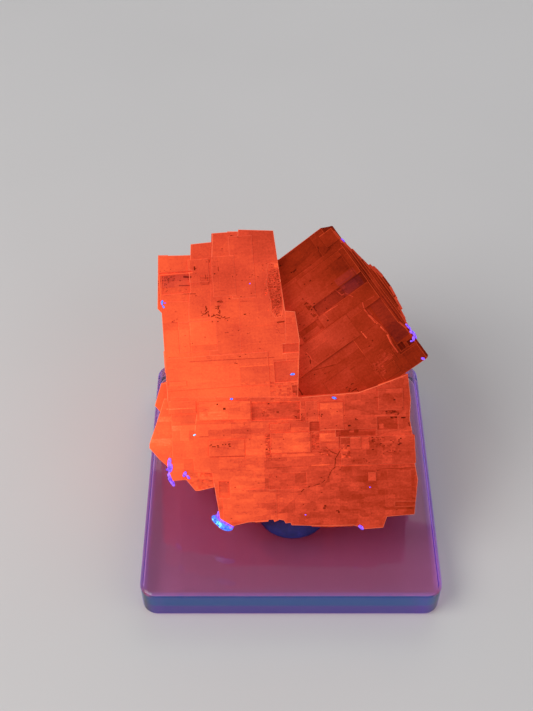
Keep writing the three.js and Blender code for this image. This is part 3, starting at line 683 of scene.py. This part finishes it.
class Crystals:
    """The specimen's mesh while it is worked on, in millimetres in its main face's directions."""

    def __init__(self, source):
        self.mesh = bmesh.new()
        self.mesh.from_mesh(source)
        bmesh.ops.transform(self.mesh, matrix=TO_ROW.inverted(), verts=self.mesh.verts)
        bmesh.ops.remove_doubles(self.mesh, verts=self.mesh.verts, dist=NEAR)
        bmesh.ops.dissolve_limit(
            self.mesh, angle_limit=FLAT_ANGLE, verts=self.mesh.verts, edges=self.mesh.edges
        )
        self.tone = self.mesh.faces.layers.float.new("tone")
        self.edge_light_and_shade = self.mesh.faces.layers.float.new("edge_light_and_shade")
        self.violet = self.mesh.faces.layers.float.new("violet")
        self.random = random.Random(BRICK_SEED)
        self.home = {"main": (Vector((1, 0, 0)), Vector((0, 1, 0))), "right": axes_of("right")}
        self.fronts = {"main": {}, "right": {}}
        right_out = RIGHT.to_3x3().col[2]
        for face in self.mesh.faces:
            face.normal_update()
            face.material_index = self.crystal_of(face)
            if face.normal.z > FACING:
                self.fronts["main"][face] = None
            elif face.normal.dot(right_out) > FACING:
                self.fronts["right"][face] = None
        fronts = {face for group in self.fronts.values() for face in group}
        self.sides = [face for face in self.mesh.faces if face not in fronts]
        self.edge_rims()
        for kind, faces in self.fronts.items():
            for face in faces:
                faces[face] = reaches(face, self.home[kind])

    def crystal_of(self, face):
        """Which crystal's directions a face follows, as its material's number."""
        if max(abs(face.normal.dot(axis)) for axis in RIGHT.to_3x3().col) > ALIGNED:
            return CRYSTALS.index("right")
        if face.calc_center_median().y > LEFT_FOOT:
            return CRYSTALS.index("left")
        return CRYSTALS.index("body")

    def edge_rims(self):
        """A narrow slope along every edge of the front faces, which catches the light. Each slope also gets
        a painted highlight where its edge sticks out and painted shade where it lies in a hollow.
        """
        fronts = [face for group in self.fronts.values() for face in group]
        made = bmesh.ops.inset_region(
            self.mesh, faces=fronts, thickness=RIM_WIDTH, depth=RIM_RISE, use_boundary=True
        )
        inner = set(fronts)
        slopes = set(made["faces"])
        for face in slopes:
            outer = [edge for edge in face.edges if not any(other in inner for other in edge.link_faces)]
            convex = any(edge.is_manifold and edge.calc_face_angle_signed(0) > RIM_ANGLE for edge in outer)
            walls = [(edge, wall) for edge in outer for wall in edge.link_faces if wall not in slopes]
            deep = any(wall.calc_area() > TALL_WALL * edge.calc_length() for edge, wall in walls)
            face[self.edge_light_and_shade] = (1.0 if convex else HOLLOW_EDGE_SHADE) * (1.0 if deep else SHALLOW_RIM)

    def cut(self, face, direction, reach):
        """Splits one face along a plane and gives back its pieces."""
        corners = list(face.verts)
        gaps = [corner.co.dot(direction) - reach for corner in corners]
        if min(gaps) > -NEAR or max(gaps) < NEAR:
            return [face]
        along = face.normal.cross(direction)
        runs = sorted(crossings(face, corners, gaps, along), key=lambda run: run[0][0])
        pieces = [face]
        for before, after in zip(runs[::2], runs[1::2]):
            first = before[-1][1]
            last = after[0][1]
            holder = next((piece for piece in pieces if first in piece.verts and last in piece.verts), None)
            if holder is not None and not any(last in edge.verts for edge in first.link_edges):
                pieces.append(bmesh.utils.face_split(holder, first, last)[0])
        for kind, faces in self.fronts.items():
            if face in faces:
                for piece in pieces:
                    faces[piece] = reaches(piece, self.home[kind])
        return pieces

    def carve(self, kind, axes, rectangle):
        """Cuts a rectangle's outline into the front faces and gives back the faces in it."""
        across, up = axes
        left, low, right, high = rectangle
        home_across, home_up = self.home[kind]
        corners = [across * x + up * y for x in (left, right) for y in (low, high)]
        far_across = [corner.dot(home_across) for corner in corners]
        far_up = [corner.dot(home_up) for corner in corners]
        near = (min(far_across), min(far_up), max(far_across), max(far_up))
        faces = [face for face, reach in self.fronts[kind].items() if overlaps(reach, near)]
        for direction, reach in ((None, None), (up, low), (up, high), (across, left), (across, right)):
            if direction is not None:
                faces = [piece for face in faces for piece in self.cut(face, direction, reach)]
            faces = [face for face in faces if overlaps(reaches(face, axes), rectangle, MARGIN)]
        return [face for face in faces if fits(reaches(face, axes), rectangle)]

    def place(self, crystal, rectangle):
        """Carves a rectangle that is given in a crystal's own frame."""
        across, up = axes_of(crystal)
        origin = PLACES[crystal].to_translation()
        from_left, from_low = origin.dot(across), origin.dot(up)
        left, low, right, high = rectangle
        moved = (left + from_left, low + from_low, right + from_left, high + from_low)
        return self.carve(kind_of(crystal), (across, up), moved)

    def lift(self, faces, rise, slope=SLOPE):
        """Raises or sinks faces as one patch, with a narrow slope round it."""
        if rise and faces:
            bmesh.ops.inset_region(self.mesh, faces=faces, thickness=slope, depth=rise, use_boundary=True)

    def lift_each(self, faces, low, high, slope):
        """Raises or sinks faces one by one, each to a level of its own."""
        levels = [[] for _ in range(RELIEF_LEVELS)]
        for face in faces:
            self.random.choice(levels).append(face)
        for number, chosen in enumerate(levels):
            depth = low + (high - low) * number / (RELIEF_LEVELS - 1)
            bmesh.ops.inset_individual(self.mesh, faces=chosen, thickness=slope, depth=depth)

    def tint(self, faces, tone):
        for face in faces:
            face[self.tone] += tone

    def patch(self, crystal, *row):
        *rectangle, tone, rise = row
        faces = self.place(crystal, rectangle)
        self.tint(faces, tone * PATCH_STRENGTH)
        self.lift(faces, rise)

    def divide(self, faces, axes, widest, tallest):
        """Splits faces again and again along a crystal's directions, into unequal bricks."""
        across, up = axes
        waiting = list(faces)
        done = []
        while waiting:
            face = waiting.pop()
            left, low, right, high = reaches(face, axes)
            too_wide = (right - left) / (widest * self.random.uniform(*UNEVEN))
            too_tall = (high - low) / (tallest * self.random.uniform(*UNEVEN))
            if max(too_wide, too_tall) <= 1:
                done.append(face)
                continue
            direction, start, end = (across, left, right) if too_wide > too_tall else (up, low, high)
            reach = start + (end - start) * self.random.uniform(EVENNESS, 1 - EVENNESS)
            pieces = self.cut(face, direction, reach)
            (waiting if len(pieces) > 1 else done).extend(pieces)
        return done

    def etch(self, crystal, *row):
        """Breaks a place up into small raised and sunk squares."""
        *rectangle, cell, depth, tone, change = row
        place = self.place(crystal, rectangle)
        faces = self.divide(place, axes_of(crystal), cell * ETCHED_STRETCH, cell)
        for face in faces:
            face[self.tone] += tone + self.random.uniform(-change, change)
        chosen = [face for face in faces if self.random.random() < ETCHED_SHARE]
        chosen = [face for face in chosen if face.calc_area() > SMALLEST_ETCHED]
        self.lift_each(chosen, -depth, depth * ETCHED_RISE, SLOPE)

    def line(self, crystal, half_width, tone, depth, points):
        """Cuts a fine ledge line or crack along the points."""
        place = PLACES[crystal]
        out = place.to_3x3().col[2]
        found = []
        for start, end in zip(points, points[1:]):
            first = place @ Vector((*start, 0))
            last = place @ Vector((*end, 0))
            along = (last - first).normalized()
            beside = out.cross(along).normalized()
            strip = (
                first.dot(along) - half_width, first.dot(beside) - half_width,
                last.dot(along) + half_width, first.dot(beside) + half_width,
            )
            found += self.carve(kind_of(crystal), (along, beside), strip)
        found = [face for face in dict.fromkeys(found) if face.is_valid]
        self.tint(found, tone)
        self.lift(found, depth, half_width * LINE_SLOPE)
        for face in found:
            self.fronts[kind_of(crystal)].pop(face, None)

    def pits(self, crystal, left, low, right, high, count, size, tone):
        """Finds small squares for dark pits, which are sunk later, all together."""
        found = []
        for _ in range(count):
            x = self.random.uniform(left, right)
            y = self.random.uniform(low, high)
            half = size * self.random.uniform(*PIT_HALF_WIDTH)
            tall = size * self.random.uniform(*PIT_HALF_HEIGHT)
            found += self.place(crystal, (x - half, y - tall, x + half, y + tall))
        found = [face for face in dict.fromkeys(found) if face.is_valid]
        self.tint(found, tone)
        return found

    def brick(self, faces, share, step, spread):
        """Gives bricks their own shade, and lifts or sinks some of them a little."""
        chosen = []
        for face in faces:
            face[self.tone] += self.random.gauss(0, spread)
            if self.random.random() < share and face.calc_area() > SMALLEST_BRICK:
                chosen.append(face)
        self.lift_each(chosen, -step, step, BRICK_SLOPE)

    def front_bricks(self):
        for number, crystal in enumerate(CRYSTALS):
            faces = [face for face in self.fronts[kind_of(crystal)] if face.material_index == number]
            size = BRICKS[crystal]
            bricks = self.divide(faces, axes_of(crystal), size.wide, size.tall)
            self.brick(bricks, *FRONT_BRICKS, size.spread)

    def side_bricks(self):
        bricks = []
        for face in self.sides:
            if face.calc_area() > SMALLEST_SIDE:
                crystal = CRYSTALS[face.material_index]
                bricks += self.divide([face], flat_axes(face, crystal), *SIDE_BRICK_SIZE)
        self.brick(bricks, *SIDE_BRICKS, SIDE_SPREAD)

    def violet_places(self):
        for crystal, rectangle, amount in rows_of(VIOLET_PLACES):
            for face in self.place(crystal, rectangle):
                face[self.violet] = amount

    def write(self, name):
        bmesh.ops.transform(self.mesh, matrix=TO_ROW, verts=self.mesh.verts)
        piece = write_piece(self.mesh, name)
        piece.data.shade_flat()
        return piece


def axes_of(crystal):
    """A crystal's two directions in its front face."""
    turn = PLACES[crystal].to_3x3()
    return turn.col[0].copy(), turn.col[1].copy()


def flat_axes(face, crystal):
    """The two of a crystal's directions that lie best in a face."""
    columns = [column.copy() for column in PLACES[crystal].to_3x3().col]
    columns.sort(key=lambda axis: abs(axis.dot(face.normal)))
    return columns[0], columns[1]


def kind_of(crystal):
    return "right" if crystal == "right" else "main"


def write_piece(mesh, name):
    """Turns a finished mesh into an object, without the normals that its source came with."""
    data = bpy.data.meshes.new(name)
    mesh.to_mesh(data)
    mesh.free()
    old_normals = data.attributes.get("custom_normal")
    if old_normals is not None:
        data.attributes.remove(old_normals)
    piece = bpy.data.objects.new(name, data)
    bpy.context.scene.collection.objects.link(piece)
    return piece


def rows_of(table):
    """The rows of a table that is kept by crystal, each after its crystal's name."""
    return [(crystal, *row) for crystal, rows in table.items() for row in rows]


def work_crystals(source):
    crystals = Crystals(source)
    for row in rows_of(PATCHES):
        crystals.patch(*row)
    crystals.violet_places()
    for row in [*rows_of(LEDGE_LINES), CRACK]:
        crystals.line(*row)
    crystals.front_bricks()
    crystals.side_bricks()
    for row in rows_of(ETCHED):
        crystals.etch(*row)
    pits = []
    for row in rows_of(PITS):
        pits += crystals.pits(*row)
    crystals.lift([face for face in dict.fromkeys(pits) if face.is_valid], -PIT_DEPTH, PIT_SLOPE)
    return crystals


# The crumbs, in millimetres where nothing else is said. Their width, height and rise above the surface
# are shares of their size.
CRUMB_SCALE = 1.25
CRUMB_WIDTH = 0.75
CRUMB_HEIGHT = 0.6
CRUMB_RISE = 0.15
CRUMB_CHANCE = (0.75, 1.2)  # spread of how far its corners stick out
VIEW_FROM = 12.0  # heights above the face, from which and to which its surface is looked for
VIEW_TO = -18.0
BESIDE_EDGE = -1.5  # height of a crumb beside an edge
OVERHANG = 0.6  # how far the middle of a crumb beside an edge stands off it, as a share of its size
# Crumb materials: name, deep colour, pale colour, strength of the glow.
CRUMB_COLOURS = (
    ("blue_crumbs", srgb(40, 60, 230), srgb(80, 140, 255), 1.0),
    ("pale_blue_crumbs", srgb(30, 120, 255), srgb(130, 235, 255), 1.5),
    ("violet_crumbs", srgb(90, 44, 236), srgb(160, 104, 255), 0.9),
)
# Crumbs on the front: place in the face (across, up), size, stretch, turn, material.
BLUE, PALE_BLUE, PURPLE = 0, 1, 2
CRUMBS = (
    (-25.3, 13.7, 0.5, 1.8, 80, PURPLE), (-25.1, 12.4, 0.6, 1.6, 85, PURPLE),
    (-25.3, 11, 0.55, 1.6, 70, PURPLE), (-24.9, 9.5, 0.65, 1.7, -55, PURPLE),
    (-26.2, 11.8, 0.35, 1.4, 20, PURPLE), (-22, 11.2, 0.4, 1.5, 60, PURPLE),
    (-21.3, 10.5, 0.35, 1.5, -50, PURPLE), (-20, 19.4, 0.2, 1.5, 35, PALE_BLUE),
    (0.7, 32.2, 0.3, 1.6, 10, BLUE), (9.5, 27.2, 0.3, 1.6, -20, BLUE), (-12.2, 27, 0.24, 1.2, 0, BLUE),
    (-26.8, 47.3, 0.32, 1.6, 80, BLUE), (-26.5, 46.4, 0.24, 1.4, -60, BLUE),
    (-26.2, 47.2, 0.14, 1.3, 0, PURPLE), (15.1, 0, 0.4, 1.7, -40, PURPLE),
    (26.5, 16.9, 0.22, 1.2, 0, PURPLE), (4.6, 61.8, 0.34, 1.4, 25, PURPLE),
    (10.4, 62.4, 0.45, 1.5, -60, PURPLE), (10.9, 61.7, 0.6, 1.6, -50, PURPLE),
    (11.5, 60.8, 0.4, 1.6, -50, PURPLE), (25.2, 42.3, 0.42, 1.4, -55, PURPLE),
    (25.9, 41.5, 0.55, 1.4, -70, PURPLE), (26.3, 40.9, 0.6, 1.3, -40, PURPLE),
    (25.6, 41, 0.42, 1.4, 60, PURPLE), (26.8, 40.2, 0.5, 1.5, -60, PURPLE),
    (26.1, 39.8, 0.35, 1.4, -80, PURPLE), (27.4, 39.6, 0.42, 1.5, -50, PURPLE),
    (28, 39, 0.34, 1.5, -60, BLUE), (25.8, 39.2, 0.26, 1.2, 0, PURPLE), (28, 35.5, 0.34, 1.3, -30, PURPLE),
    (3.4, 2.6, 0.16, 1.1, 0, PURPLE), (17, 8.4, 0.16, 1.1, 0, PURPLE), (-8.3, 51.3, 0.13, 1.2, 15, PURPLE),
    (-15.2, 2.4, 0.48, 1.5, 85, PURPLE), (-15.2, 1.5, 0.66, 1.5, -50, PURPLE),
    (-14.6, 0.9, 0.68, 1.6, -40, PURPLE), (-13.7, 0.5, 0.68, 1.6, -28, PURPLE),
    (-12.9, 0.2, 0.66, 1.5, -20, PURPLE),
)
# Crumbs heaped on those that hold on to the lower body's corner.
CORNER_CRUMBS = (
    (-15.9, 1.3, 0.7, 1.5, -62, BLUE), (-15.5, 0.7, 0.72, 1.5, -52, PALE_BLUE),
    (-14.9, 0.2, 0.7, 1.6, -42, PALE_BLUE), (-14.2, -0.2, 0.8, 1.5, -28, BLUE),
    (-13.4, -0.5, 0.78, 1.5, -10, BLUE), (-12.6, -0.4, 0.66, 1.4, 15, PURPLE),
)
CORNER_REACH = 1.15  # how far the middle of such a crumb stands off the crystal at most


def surface_point(tree, across, up, reach):
    """Where the specimen's surface is behind a point of the face."""
    start = TO_ROW @ Vector((across, up, VIEW_FROM))
    out = (TO_ROW.to_3x3() @ Vector((0, 0, 1))).normalized()
    hit = tree.ray_cast(start, -out, (VIEW_FROM - VIEW_TO) * MM)[0]
    if hit is None:
        wanted = TO_ROW @ Vector((across, up, BESIDE_EDGE))
        nearest = tree.find_nearest(wanted)[0]
        away = wanted - nearest
        hit = nearest + away.normalized() * min(away.length, reach * MM)
    return TO_ROW.inverted() @ hit


def add_crumb(mesh, chance, point, size, stretch, turn, material):
    """One small faceted grain, partly set in the surface."""
    shape = Matrix.LocRotScale(
        point + Vector((0, 0, size * CRUMB_RISE)),
        Matrix.Rotation(math.radians(turn), 3, "Z").to_euler(),
        Vector((size * stretch, size * CRUMB_WIDTH, size * CRUMB_HEIGHT)) * CRUMB_SCALE,
    )
    made = bmesh.ops.create_icosphere(mesh, subdivisions=1, radius=1.0, matrix=Matrix.Identity(4))
    for vert in made["verts"]:
        vert.co *= chance.uniform(*CRUMB_CHANCE)
    bmesh.ops.transform(mesh, matrix=TO_ROW @ shape, verts=made["verts"])
    for face in {face for vert in made["verts"] for face in vert.link_faces}:
        face.material_index = material


# The putty's surface: its flat foot, how far the rest is pressed in, and its lumps, in millimetres
PUTTY_FOOT = 0.05
PUTTY_SINK = 0.12
PUTTY_WAVE = 0.16
COARSE_LUMPS = 260  # waves to the metre
FINE_LUMPS = 700
FINE_SHARE = 0.5
PUTTY_CUTS = 3

# The stage. Lights: name, place, size, share of the key light's power, colour.
LIGHTS = (
    ("key", (-0.34, -0.16, 0.42), 0.34, 1.0, (1.0, 0.98, 0.96)),
    ("fill", (0.38, -0.26, 0.30), 0.40, 0.22, (0.92, 0.94, 1.0)),
    ("back", (0.10, 0.42, 0.34), 0.40, 0.30, (1.0, 1.0, 1.0)),
)
LIGHT_AIM = Vector((0, 0, 0.025))
FLOOR_HALF = 2.5
STUDIO_COLOUR = (0.86, 0.87, 0.92, 1.0)
STUDIO_STRENGTH = 0.42
CAMERA_AT = Vector((-5.2, -139.85, 208.4)) * MM
CAMERA_LENS = 53.67
CAMERA_SENSOR = 36.0


class HaliteSettings(bpy.types.PropertyGroup):
    """Sizes and colours of the specimen, its base and the stage."""

    glow: FloatProperty(
        name="Glow", description="Strength of the crystals' own orange light", default=0.5, min=0, max=2
    )
    # strength of the painted highlight along the edges
    painted_edge_highlight: FloatProperty(
        name="Rim Light", description="How much of the edges' own light shows", default=0.34, min=0, max=1
    )
    seed: IntProperty(name="Seed", description="Seed of the crumbs' shapes", default=61)
    # the base's tint, a painted reflection of the specimen's glow
    base_painted_reflection_tint: FloatVectorProperty(
        name="Base Tint", description="Colour that the acrylic lets through", subtype="COLOR",
        default=(0.85, 0.18, 0.59), min=0, max=1,
    )
    base_density: FloatProperty(
        name="Base Density", description="How much light the acrylic takes up", default=110, min=0
    )
    wall_glow: FloatProperty(
        name="Wall Glow", description="How strongly the base's side walls glow", default=0.42, min=0, max=2
    )
    key_power: FloatProperty(
        name="Key Light", description="Power of the light at the left", default=1.6, min=0, subtype="POWER"
    )


class HALITE_OT_crystals(bpy.types.Operator):
    """Make the halite cluster with its terraces, bricks, pits and cracks"""

    bl_idname = "halite.crystals"
    bl_label = "Halite Crystals"

    def execute(self, context):
        crystals = work_crystals(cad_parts["halite"].data)
        piece = crystals.write("halite_crystals")
        for crystal in CRYSTALS:
            piece.data.materials.append(halite_material(crystal))
        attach(piece, "root")
        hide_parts("halite")
        return {"FINISHED"}


class HALITE_OT_crumbs(bpy.types.Operator):
    """Make the small blue and violet grains that sit on the crystals"""

    bl_idname = "halite.crumbs"
    bl_label = "Glowing Crumbs"

    def execute(self, context):
        piece = bpy.data.objects.get("halite_crystals")
        if piece is None:
            raise RuntimeError("make the crystals first")
        surface = BVHTree.FromObject(piece, context.evaluated_depsgraph_get())
        chance = random.Random(settings().seed)
        mesh = bmesh.new()
        for across, up, size, stretch, turn, material in CRUMBS:
            point = surface_point(surface, across, up, OVERHANG * size)
            add_crumb(mesh, chance, point, size, stretch, turn, material)
        for across, up, size, stretch, turn, material in CORNER_CRUMBS:
            point = surface_point(surface, across, up, CORNER_REACH)
            add_crumb(mesh, chance, point, size, stretch, turn, material)
        crumbs = write_piece(mesh, "glowing_crumbs")
        for values in CRUMB_COLOURS:
            crumbs.data.materials.append(crumb_material(*values))
        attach(crumbs, "root")
        return {"FINISHED"}


class HALITE_OT_base(bpy.types.Operator):
    """Give the display base its clear acrylic"""

    bl_idname = "halite.base"
    bl_label = "Display Base"

    def execute(self, context):
        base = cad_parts["acrylic_base"]
        base.data.materials.clear()
        base.data.materials.append(acrylic_material())
        return {"FINISHED"}


class HALITE_OT_putty(bpy.types.Operator):
    """Make the lump of putty under the specimen's front edge"""

    bl_idname = "halite.putty"
    bl_label = "Mounting Putty"

    def execute(self, context):
        mesh = bmesh.new()
        mesh.from_mesh(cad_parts["mounting_putty"].data)
        bmesh.ops.remove_doubles(mesh, verts=mesh.verts, dist=NEAR * MM)
        bmesh.ops.subdivide_edges(mesh, edges=mesh.edges, cuts=PUTTY_CUTS, use_grid_fill=True)
        mesh.normal_update()
        floor_level = (SEAT_HEIGHT + PUTTY_FOOT) * MM
        for vert in mesh.verts:
            if vert.co.z > floor_level:
                wave = noise.noise(vert.co * COARSE_LUMPS)
                wave += FINE_SHARE * noise.noise(vert.co * FINE_LUMPS)
                vert.co -= vert.normal * (PUTTY_SINK + PUTTY_WAVE * wave) * MM
        putty = write_piece(mesh, "putty_lump")
        putty.data.shade_smooth()
        # its dark colour is partly painted shadow under the front edge
        putty.data.materials.append(putty_and_shadow_material())
        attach(putty, "root")
        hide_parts("mounting_putty")
        return {"FINISHED"}


class HALITE_OT_stage(bpy.types.Operator):
    """Make the pale floor, the soft lights and the camera"""

    bl_idname = "halite.stage"
    bl_label = "Stage"

    def execute(self, context):
        scene = context.scene
        mesh = bmesh.new()
        below = Matrix.Translation((0, 0, -FLOOR_GAP))
        bmesh.ops.create_grid(mesh, x_segments=1, y_segments=1, size=FLOOR_HALF, matrix=below)
        floor = write_piece(mesh, "floor")
        floor.data.materials.append(floor_material())

        world = bpy.data.worlds.new("studio")
        world.use_nodes = True
        back = world.node_tree.nodes["Background"]
        back.inputs["Color"].default_value = STUDIO_COLOUR
        back.inputs["Strength"].default_value = STUDIO_STRENGTH
        scene.world = world
        scene.view_settings.view_transform = "Standard"
        scene.view_settings.look = "None"

        for light in LIGHTS:
            self.area(*light)

        camera_data = bpy.data.cameras.new("camera")
        camera_data.lens = CAMERA_LENS
        camera_data.sensor_width = CAMERA_SENSOR
        camera_data.clip_start = 0.005
        camera_data.clip_end = 20.0
        camera = bpy.data.objects.new("camera", camera_data)
        scene.collection.objects.link(camera)
        camera.location = CAMERA_AT
        camera.rotation_euler = (math.radians(90 - LEAN_BACK), 0, 0)
        scene.camera = camera
        return {"FINISHED"}

    def area(self, name, place, size, share, colour):
        data = bpy.data.lights.new(name, "AREA")
        data.size = size
        data.energy = settings().key_power * share
        data.color = colour
        light = bpy.data.objects.new(name, data)
        bpy.context.scene.collection.objects.link(light)
        light.location = place
        aim = LIGHT_AIM - Vector(place)
        light.rotation_euler = aim.to_track_quat("-Z", "Y").to_euler()


class HALITE_PT_parts(bpy.types.Panel):
    """Lists the pieces and their settings"""

    bl_label = "Halite"
    bl_idname = "HALITE_PT_parts"
    bl_space_type = "VIEW_3D"
    bl_region_type = "UI"
    bl_category = "Halite"

    def draw(self, context):
        for name in HaliteSettings.__annotations__:
            self.layout.prop(context.scene.halite_settings, name)
        for operator in OPERATORS:
            self.layout.operator(operator.bl_idname)


OPERATORS = (HALITE_OT_stage, HALITE_OT_base, HALITE_OT_putty, HALITE_OT_crystals, HALITE_OT_crumbs)
CLASSES = (HaliteSettings, *OPERATORS, HALITE_PT_parts)


def register():
    for item in CLASSES:
        bpy.utils.register_class(item)
    bpy.types.Scene.halite_settings = PointerProperty(type=HaliteSettings)


def unregister():
    del bpy.types.Scene.halite_settings
    for item in reversed(CLASSES):
        bpy.utils.unregister_class(item)


def main():
    register()
    bpy.ops.halite.stage()
    bpy.ops.halite.base()
    bpy.ops.halite.putty()
    bpy.ops.halite.crystals()
    bpy.ops.halite.crumbs()


if __name__ == "__main__":
    main()
